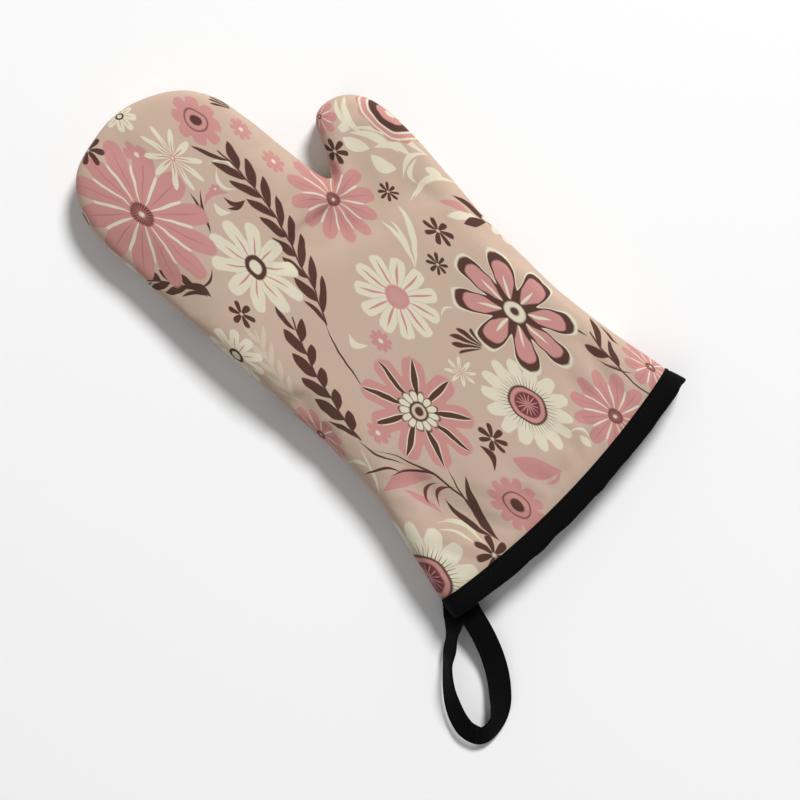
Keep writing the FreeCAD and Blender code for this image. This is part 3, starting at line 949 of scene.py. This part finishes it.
# %% Sprigs and single strokes of the brush
SPRIGS = [                     # base, tip, bend, leaf, bare stem, pitch, half width, short side
    ((-24, 150), (2, 260), -9.0, 20.0, 0.0, 13.0, 2.5, 0.95),
    ((-56, 92), (-33, 166), 4.0, 20.0, 0.0, 14.0, 3.1, 0.62),
    ((-57, 207), (-77, 239), -2.0, 15.0, 0.0, 11.0, 2.5, 1.0),
    ((72, -4), (73, 44), 2.0, 17.0, 20.0, 15.0, 2.6, 1.0),
]
PALE_SPRIG = ((-65, 130), (-52, 176), 2.0, 14.0, 0.0, 10.0, 1.6, 1.0)
STROKES = {                    # from, to, bend and half width
    "cream": [
        (-8, 258, 0, 244, 5.2, 0.7), (-5, 254, -5, 238, -4.1, 0.9), (-19, 241, -16, 231, -2.7, 1.8),
        (61, 221, 64, 215, 0.4, 2.7), (64, 216, 82, 174, 4.1, 1.7), (58, 215, 63, 200, -1.5, 3.6),
        (62, 214, 72, 187, 2.7, 2.1), (61, 198, 65, 182, -2.4, 3.6), (65, 199, 76, 180, 3.5, 2.2),
        (83, 174, 64, 175, -6.1, 1.6), (77, 177, 67, 167, -4.7, 1.4), (76, 170, 79, 160, 0.1, 2.7),
        (84, 153, 56, 163, -6.4, 2.0), (78, 158, 59, 162, -3.6, 0.8), (76, 232, 66, 208, -3.0, 1.9),
        (71, 233, 65, 216, -2.0, 1.3), (50, 167, 32, 137, 3.9, 1.7), (38, 167, 32, 137, 3.0, 1.2),
        (42, 164, 33, 140, 2.1, 0.9), (23, 108, 32, 106, 2.8, 0.7), (65, 143, 78, 130, -0.3, 2.6),
        (-59, 90, -73, 62, 2.4, 0.8), (-72, 89, -63, 79, 2.3, 1.1), (-19, 138, -16, 126, -3.0, 1.7),
        (-60, 32, -51, 3, 6.0, 0.9), (-62, 28, -53, 8, 2.6, 0.8), (-56, 30, -50, 8, 4.5, 0.8),
        (22, 14, 30, 0, 7.0, 0.7), (29, 9, 29, 0, 0.0, 2.0),
    ],
    "pink": [
        (-24, 243, -9, 239, 4.3, 1.9), (-67, 64, -43, 50, 4.0, 4.8), (-59, 57, -53, 33, 0.6, 1.5),
        (-5, 27, 8, 2, -2.7, 5.2), (8, 4, -3, 4, 3.3, 1.2), (68, 152, 75, 135, 0.7, 2.1),
    ],
    "brown": [
        (-25, 255, -32, 231, 1.8, 0.8), (-19, 251, -32, 231, -1.2, 0.8), (-13, 240, -6, 231, -3.2, 1.2),
        (-16, 234, -6, 231, -2.0, 1.2), (-45, 217, -59, 213, 3.3, 0.7), (-65, 220, -56, 205, 3.4, 2.4),
        (75, 149, 80, 124, 1.9, 2.0), (68, 133, 80, 127, -0.1, 2.9), (-24, 151, -34, 110, -1.6, 0.5),
        (-57, 93, -48, 66, -2.0, 0.5), (-69, 78, -53, 64, 3.3, 0.8), (-55, 84, -44, 3, 9.4, 0.6),
        (-59, 67, -40, 45, 4.7, 0.8), (-33, 49, -45, 10, -0.5, 0.45), (-30, 38, -43, 0, -3.7, 2.5),
        (-47, 37, -44, 4, -1.9, 1.5), (-13, 44, -17, 29, 2.7, 1.6), (81, 43, 80, 28, -0.6, 0.7),
        (66, 30, 74, 12, -2.0, 0.5),
    ],
    "maroon": [(-43, 46, -55, 41, -5.0, 1.2), (-38, 38, -52, 36, -6.0, 1.2)],
}
print("strokes:", {ink: len(lines) for ink, lines in STROKES.items()})

# %% The nearest flower, and its petals


def nearest(place, flowers):
    """Place relative to the nearest flower, with 1 at its tips; its petals are the third axis."""
    best, best_far = None, None
    for x, y, wide, tall, petals in flowers:
        scale = (1.0 / wide, 1.0 / tall, 0.0)
        local = place.vector("MULTIPLY_ADD", scale, (-x / wide, -y / tall, petals))
        far = local.vector("DISTANCE", (0.0, 0.0, petals), output=1)
        if best is None:
            best, best_far = local, far
            continue
        nearer = far.math("LESS_THAN", best_far)
        best = blend_vector(nearer, best, local)
        best_far = far.both(best_far)
    return best, best_far


def disc(ink, radius):
    """A mark for flower(): a disc round the middle."""
    return (ink, 0.0, radius, 0.0, 0)


def rays(ink, start, end, width, times=1, between=False):
    """A mark for flower(): pointed strokes outward; times counts them for each petal."""
    return (ink, start, end, width, -times if between else times)


def flower(place, paint, flowers, petal, tip=0.05, cleft=0.3, sharp=5.0, marks=(), soft=0.035,
           outline=None):
    """Paint one kind of flower over a colour."""
    local, far = nearest(place, flowers)
    x, y, petals = local.parts()
    half_turn = y.math("ARCTAN2", x) * petals * 0.5
    off_middle = half_turn.math("SINE").math("ABSOLUTE")       # 0 at a petal's middle, 1 between
    off_gap = half_turn.math("COSINE").math("ABSOLUTE")
    reach = 1.0 - off_middle.math("POWER", 2.0 * sharp) * cleft - off_middle * tip
    depth = reach - far
    colour = petal
    if outline:
        line, width = outline
        edge = depth.below(width, soft).either((off_gap * far).below(width * 1.6, soft * 2.0))
        colour = blend_colour(edge, petal, line)
    for ink, start, end, width, times in marks:
        if times == 0:
            colour = blend_colour(far.below(end, soft), colour, ink)
            continue
        beside = off_middle if times > 0 else off_gap
        if abs(times) > 1:
            beside = (half_turn * abs(times)).math("SINE").math("ABSOLUTE")
        room = (far - start) * (end - far) * (4.0 * width / (end - start) ** 2)
        colour = blend_colour((room - beside * far).above(0.0, soft), colour, ink)
    return blend_colour(depth.above(0.0, soft), paint, colour)


# %% Leaves, strokes and fans
LEAF_ANGLE = math.radians(22.0)
LEAF_SIN, LEAF_COS = math.sin(LEAF_ANGLE), math.cos(LEAF_ANGLE)


def across_and_along(place, start, end):
    """Share of the way from start to end, distance off that line to its left, and its length."""
    along = np.array(end, float) - np.array(start, float)
    length = float(np.linalg.norm(along))
    along /= length
    local = place.vector("SUBTRACT", (start[0], start[1], 0.0))
    share = local.vector("DOT_PRODUCT", (along[0] / length, along[1] / length, 0.0), output=1)
    off = local.vector("DOT_PRODUCT", (-along[1], along[0], 0.0), output=1)
    return share, off, length


def sprig(place, start, end, bend, leaf, bare, pitch, width, short_side):
    """Where slender leaves lie in pairs along a bent stem."""
    share, off, length = across_and_along(place, start, end)
    off = off - share * (1.0 - share) * (4.0 * bend)
    run = share * length
    away = off.math("ABSOLUTE")
    left = off.above(0.0, 0.1)
    base = run - away * (LEAF_COS / LEAF_SIN)
    phase = ((base / pitch + left * 0.5).math("FRACT") - 0.5) * pitch
    size = left * (leaf * (1.0 - short_side)) + leaf * short_side
    grow = ((away / LEAF_SIN + phase * LEAF_COS) / size).math("MINIMUM", 1.0)
    room = (grow * (1.0 - grow) * 4.0).math("MAXIMUM", 0.0).math("POWER", 0.8)
    blade = (room * width - phase.math("ABSOLUTE") * LEAF_SIN).above(0.3, 0.5)
    blade = blade * base.above(bare, 1.0) * base.below(length - leaf * 0.4, 1.0)
    stem = away.below(0.45, 0.4) * run.above(0.0, 1.0) * run.below(length, 1.0)
    return blade.either(stem)


def stroke(place, x, y, to_x, to_y, bend, width):
    """Where one bent stroke lies, pointed at both ends."""
    share, off, length = across_and_along(place, (x, y), (to_x, to_y))
    room = share * (1.0 - share) * 4.0
    off = (off - room * bend).math("ABSOLUTE")
    return (room * width - off).above(0.0, 0.3)


def leaf_fan(place, paint, ink, at, tall, wide, blades, spread, heading):
    """A small fan of pointed leaves from one point."""
    local = place.vector("SUBTRACT", (at[0], at[1], 0.0))
    c, s = math.cos(heading), math.sin(heading)
    run = local.vector("DOT_PRODUCT", (c, s, 0.0), output=1)
    off = local.vector("DOT_PRODUCT", (-s * tall / wide, c * tall / wide, 0.0), output=1)
    angle = off.math("ARCTAN2", run)
    far = (run * run + off * off).math("SQRT") / tall
    wave = (angle * (math.pi * blades / spread)).math("COSINE").math("ABSOLUTE")
    edge = wave.above(0.45, 0.3) * angle.math("ABSOLUTE").below(spread / 2.0, 0.05)
    tip = (far - wave * 0.35).below(0.65, 0.06)
    return blend_colour(edge * tip * far.above(0.12, 0.05), paint, ink)


# %% Each kind of flower as it is painted, from the first to the last
FLOWERS = [
    (CREAM_DAISIES, CREAM, dict(cleft=0.42, sharp=3.0, marks=(rays(SAND, 0.2, 1.0, 0.05, 1, True),
        rays(PINK, 0.15, 0.72, 0.10), disc(BROWN, 0.25), disc(CREAM, 0.14)))),
    (DISC_DAISIES, CREAM, dict(cleft=0.34, marks=(rays(SAND, 0.2, 1.05, 0.07, 1, True),
        rays(PINK, 0.2, 0.9, 0.15), disc(PINK, 0.28), rays(SAND, 0.02, 0.27, 0.03, 3)))),
    (FRINGED_DAISIES, CREAM, dict(cleft=0.22, sharp=3.0,
        marks=(rays(SAND, 0.3, 1.1, 0.08, 1, True), rays(BROWN, 0.1, 0.66, 0.13, 3),
        disc(BROWN, 0.42), disc(PINK, 0.37), disc(MAROON, 0.28), rays(PINK, 0.0, 0.27, 0.08)))),
    (PINK_DAISIES, PINK, dict(cleft=0.26, sharp=3.0, marks=(rays(CREAM, 0.1, 0.98, 0.13, 1, True),
        rays(DEEP_PINK, 0.2, 0.9, 0.06), disc(MAROON, 0.17), rays(PINK, 0.0, 0.19, 0.035, 2),
        disc(CREAM, 0.04)))),
    (RAYED_DAISIES, PINK, dict(tip=0.1, cleft=0.3, marks=(rays(CREAM, 0.2, 1.0, 0.30),
        rays(BROWN, 0.2, 0.98, 0.22)))),
    (DAISY_HEARTS, CREAM, dict(cleft=0.2, outline=(BROWN, 0.08), soft=0.08,
        marks=(disc(BROWN, 0.48), disc(SAND, 0.36), disc(BROWN, 0.22)))),
    (FEATURE_FLOWERS, CREAM, dict(tip=0.02, cleft=0.5, sharp=3.0)),
    (SMALLER_FEATURE, PINK, dict(tip=0.05, cleft=0.5, sharp=3.0, outline=(BROWN, 0.14),
        marks=(rays(CREAM, 0.15, 0.62, 0.10), disc(BROWN, 0.22), disc(CREAM, 0.17),
        disc(BROWN, 0.07)))),
    (STAR_DAISIES, CREAM, dict(tip=0.1, cleft=0.85, sharp=1.3, marks=(rays(PINK, 0.0, 0.6, 0.10),
        disc(PINK, 0.10), disc(CREAM, 0.05)))),
    (RING_FLOWERS, PINK, dict(cleft=0.22, soft=0.06, marks=(disc(BROWN, 0.47), disc(PINK, 0.42),
        disc(BROWN, 0.23)))),
    (SMALL_FLOWERS, PINK, dict(cleft=0.3, soft=0.12, marks=(disc(CREAM, 0.2),))),
    (EDGE_FLOWERS, PINK, dict(cleft=0.06, marks=(disc(CREAM, 0.90), disc(PINK, 0.84),
        disc(CREAM, 0.70), disc(BROWN, 0.64), disc(PINK, 0.40), disc(CREAM, 0.15)))),
    (BLOSSOMS, BROWN, dict(tip=0.05, cleft=0.8, sharp=2.4, soft=0.10, marks=(disc(SAND, 0.12),))),
]
print("kinds of flower:", len(FLOWERS))
LEAF_FANS = [               # from, length, width, blades, spread and heading
    ((27, 79), 21, 9, 4, 2.0, 1.98), ((24, 271), 15, 8, 5, 1.7, 1.75),
    ((90, 62), 14, 8, 3, 1.6, 1.5),
]

# %% How a material starts


def new_material(name):
    made = bpy.data.materials.new(name)
    made.use_nodes = True
    made.node_tree.nodes.clear()
    return made


def start_of(material):
    """A handle for making the first nodes of a material."""
    return Value(material.node_tree, None)


def cloth_place(handle):
    """Millimetres on the flat cloth."""
    uv = handle.node("ShaderNodeUVMap", {"uv_map": "cut"})
    return uv.vector("MULTIPLY", (CUT_UNIT, CUT_UNIT, 0.0))


def object_place(handle):
    """Millimetres in the object's own space."""
    coords = handle.node("ShaderNodeTexCoord", output="Object")
    return coords.vector("MULTIPLY", (1.0 / MM, 1.0 / MM, 1.0 / MM))


# %% The whole print


def paint_strokes(place, paint, ink, strokes):
    """All the strokes of one ink."""
    mask = stroke(place, *strokes[0])
    for each in strokes[1:]:
        mask = mask.either(stroke(place, *each))
    return blend_colour(mask, paint, ink)


def paint_print(place):
    """Strokes and sprigs over the ground, then each kind of flower."""
    shift = noise_at(place, 0.07, 1.0, "Color", "2D").vector("SUBTRACT", (0.5, 0.5, 0.5))
    hand = shift.vector("MULTIPLY_ADD", (2.4, 2.4, 0.0), place)      # the printed line wanders
    paint = blend_colour(noise_at(place, 0.02, 1.0, 0, "2D"), GROUND, GROUND_WARM)
    paint = blend_colour(sprig(hand, *PALE_SPRIG), paint, SAND)
    for ink, colour in (("cream", CREAM), ("pink", PINK), ("maroon", MAROON)):
        paint = paint_strokes(hand, paint, colour, STROKES[ink])
    for each in SPRIGS:
        paint = blend_colour(sprig(hand, *each), paint, BROWN)
    paint = paint_strokes(hand, paint, BROWN, STROKES["brown"])
    for flowers, petal, look in FLOWERS:
        paint = flower(hand, paint, flowers, petal, **look)
    for fan in LEAF_FANS:
        paint = leaf_fan(hand, paint, BROWN, *fan)
    return paint


# %% The weave, and the cloth's constant sheen


def weave_bump(place, pitch, strength, distance):
    """Over and under of a plain weave."""
    x, y = place.parts()[:2]
    turn = math.pi / pitch
    height = ((x * turn).math("SINE") * (y * turn).math("SINE")).math("ABSOLUTE").math("POWER", 0.5)
    return place.node("ShaderNodeBump", (), {"Strength": strength, "Distance": distance,
                                             "Height": height})


def finish_cloth(material, colour, roughness, normal, sheen=0.15, specular=0.25):
    """Close a material with constant sheen and specular level."""
    sockets = {"Base Color": colour, "Roughness": roughness, "Specular IOR Level": specular,
               "Sheen Weight": sheen, "Sheen Roughness": 0.4}
    if normal:
        sockets["Normal"] = normal
    body = start_of(material).node("ShaderNodeBsdfPrincipled", (), sockets)
    body.node("ShaderNodeOutputMaterial", (), {0: body})
    return material


def printed_cotton(name):
    made = new_material(name)
    place = cloth_place(start_of(made))
    colour = paint_print(place)
    fleck = noise_at(place, 2.4, 2.0, 0, "2D")
    rough = fleck * 0.18 + 0.74
    slub = fleck * 0.10 + 0.95
    grey = place.node("ShaderNodeCombineColor", (), {0: slub, 1: slub, 2: slub})
    colour = place.node("ShaderNodeMix", {"data_type": "RGBA", "blend_type": "MULTIPLY"},
                        {0: 1.0, 6: colour, 7: grey}, 2)
    return finish_cloth(made, colour, rough, weave_bump(place, 0.42, 0.35, 0.0001))


# %% [markdown]
# ## Plain cloths, padding and threads
# The lining, the tape and the threads are woven or twisted yarn of one colour. Real yarn is never
# even, so each mixes two near colours by a noise and adds a fine weave as relief. The padding is
# needled fibre with no weave at all. All of them are dull, and the black tape has no sheen and
# hardly a highlight, because a pale gloss would turn it grey.

# %% Plain cloths, padding and threads


def plain_cloth(name, colour, second, pitch, strength, roughness, sheen, specular, use_uv=False):
    """A woven cloth of one colour, with uneven yarn."""
    made = new_material(name)
    place = cloth_place(start_of(made)) if use_uv else object_place(start_of(made))
    yarn = noise_at(place, 0.55, 3.0)
    colour = blend_colour(yarn, colour, second)
    return finish_cloth(made, colour, yarn * 0.2 + roughness,
                        weave_bump(place, pitch, strength, 0.0002), sheen, specular)


def felted(name, colour, second):
    """Needled padding: no weave, only short tangled fibres."""
    made = new_material(name)
    place = object_place(start_of(made))
    fibre = noise_at(place, 0.9, 5.0, distortion=1.5)
    bump = place.node("ShaderNodeBump", (), {"Strength": 0.6, "Distance": 0.0005, "Height": fibre})
    return finish_cloth(made, blend_colour(fibre, colour, second), fibre * 0.1 + 0.85, bump, 0.3)


PLAIN_CLOTHS = {               # two colours, yarn pitch, relief, roughness, sheen, specular
    "natural_lining": (linear(214, 204, 184), linear(196, 184, 162), 0.5, 0.4, 0.7, 0.1, 0.25, True),
    "black_tape": (linear(3, 3, 3), linear(9, 8, 8), 0.55, 0.6, 0.66, 0.0, 0.08),
    "black_thread": (linear(10, 9, 9), linear(20, 18, 18), 0.25, 0.5, 0.5, 0.0, 0.15),
    "beige_thread": (linear(205, 186, 166), linear(186, 165, 145), 0.25, 0.5, 0.6, 0.2, 0.25),
}
cloths = {name: plain_cloth(name, *look) for name, look in PLAIN_CLOTHS.items()}
cloths["lining_cotton"] = cloths["natural_lining"]
cloths["printed_cotton"] = printed_cotton("printed_cotton")
cloths["batting"] = felted("needled_padding", linear(236, 233, 226), linear(222, 217, 206))
print("finishes:", ", ".join(sorted(cloths)))

# %% [markdown]
# ## Joining the pieces to the model
# Each piece takes the place of the plain solid that held its space and says which cloth it is made
# of, and every piece but the loop's tape rides on that solid's body. The paper patterns' sizes are
# printed.

# %% Ride, replace and declare


def dress(piece, slot, body, *nodes):
    piece.data.materials.clear()
    piece.data.materials.append(cloths[slot])
    if body:
        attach(piece, body)
    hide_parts(*nodes)


def pattern(outset):
    """Box and area, in metres, of a panel's paper pattern whose edge lies outside the seam line."""
    edge = seam - inward * outset
    across = mouth_arc(RAW_EDGE, edge[-1][0], edge[0][0], FIELD_PITCH)
    outline = np.concatenate([edge, across[1:-1]])
    x, y = outline.T
    area = abs(np.sum(x * np.roll(y, -1) - y * np.roll(x, -1))) / 2.0
    width, length = (outline.max(axis=0) - outline.min(axis=0)) * MM
    return (float(width), float(length)), float(area * MM ** 2)


# The patterns are measured on paper, before any cloth is swollen, and their sizes are printed. The
# shell rolls over the rounded edge; the lining's cut ends at the seam.
shell_cut, shell_area = pattern(-flat_inset[0])
lining_cut, lining_area = pattern(0.0)
print("shell cut:", shell_cut, round(shell_area, 5), "lining cut:", lining_cut, round(lining_area, 5))
for word in ("front", "back"):
    shell, lining, batting = [layers[word + end] for end in ("_shell", "_lining", "_batting")]
    dress(shell, "printed_cotton", "mitt", word + "_shell")
    dress(batting, "batting", "mitt", word + "_batting")
    dress(lining, "lining_cotton", "mitt", word + "_lining")
dress(binding_tape, "black_tape", "mitt", "cuff_binding")
dress(topstitch_front, "black_thread", "mitt", "binding_topstitch_front")
dress(topstitch_back, "black_thread", "mitt", "binding_topstitch_back")
dress(shell_thread, "beige_thread", "mitt", "shell_seam_thread")
dress(lining_thread, "beige_thread", "mitt", "lining_seam_thread")
dress(loop_tack, "black_thread", "mitt", "loop_bartack")
dress(loop_tape, "black_tape", None, "hanging_loop", "loop_tails")
dress(loop_stitches, "black_thread", None, "loop_edge_stitch")

HINGE_OUT = 2.8                # the soft bend's middle, out from the root
HINGE_REACH = 2.6              # and how far it reaches to each side
bend = [tuple(to_frame(from_root(HINGE_OUT + reach, 0.0, MID))) for reach in (-HINGE_REACH, HINGE_REACH)]
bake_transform(loop_tape)
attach(loop_stitches, "loop")

# %% [markdown]
# ## Floor, light and camera
# The mitt lies on a plain pale floor. One broad soft light stands beyond the fingertips on the
# thumb side, and a weak one fills from the other side. The view is from straight above, turned so
# that the fingers point to the upper left.

# %% Floor
FLOOR = 3.0                    # half its side, in metres
FLOOR_DROP = 0.0004
floor_mesh = bpy.data.meshes.new("floor")
floor_mesh.from_pydata([(-FLOOR, -FLOOR, 0.0), (FLOOR, -FLOOR, 0.0), (FLOOR, FLOOR, 0.0),
                        (-FLOOR, FLOOR, 0.0)], [], [(0, 1, 2, 3)])
floor = add_object("floor", floor_mesh)
floor.location.z = -FLOOR_DROP
pale = new_material("pale_floor")
place = start_of(pale).node("ShaderNodeTexCoord", output="Object")
grain = noise_at(place, 3.0, 2.0)
finish_cloth(pale, blend_colour(grain, linear(247, 247, 247), linear(244, 244, 244)),
             grain * 0.05 + 0.8, None, 0.0)
floor.data.materials.append(pale)
print("floor:", 2.0 * FLOOR, "m square")

# %% Light
up_in_view = np.array([0.719, 0.694])
right_in_view = np.array([0.694, -0.719])
aim = np.array([-25.4, 93.5 + CUFF_Y, 8.0]) * MM


def soft_light(name, right, up, height, size, power):
    data = bpy.data.lights.new(name, "AREA")
    data.shape = "DISK"
    data.size = size
    data.energy = power
    lamp = add_object(name, data)
    ground = right_in_view * right + up_in_view * up
    lamp.location = (aim[0] + ground[0], aim[1] + ground[1], height)
    lamp.rotation_euler = (Vector(aim) - lamp.location).to_track_quat("-Z", "Y").to_euler()
    print(name, "light:", power, "W, from a disc", size, "m wide")


soft_light("key", right=1.6, up=3.5, height=3.55, size=1.5, power=286.0)
soft_light("fill", right=-1.3, up=-1.6, height=2.6, size=2.6, power=9.0)
world = bpy.data.worlds.new("studio")
bpy.context.scene.world = world
world.use_nodes = True
background = world.node_tree.nodes["Background"].inputs
background[0].default_value = (1.0, 1.0, 1.0, 1.0)
background[1].default_value = 0.25

# %% Camera
VIEW_WIDTH = 444.5 * MM
DISTANCE = 1.3
SENSOR = 36.0
camera_data = bpy.data.cameras.new("camera")
camera_data.sensor_width = SENSOR
camera_data.lens = SENSOR * DISTANCE / VIEW_WIDTH
camera = add_object("camera", camera_data)
camera.location = (aim[0], aim[1], aim[2] + DISTANCE)
camera.rotation_euler = (0.0, 0.0, math.atan2(right_in_view[1], right_in_view[0]))
bpy.context.scene.camera = camera
bpy.context.scene.view_settings.view_transform = "Standard"
print("camera:", round(camera_data.lens, 1), "mm lens,", DISTANCE, "m above the mitt")
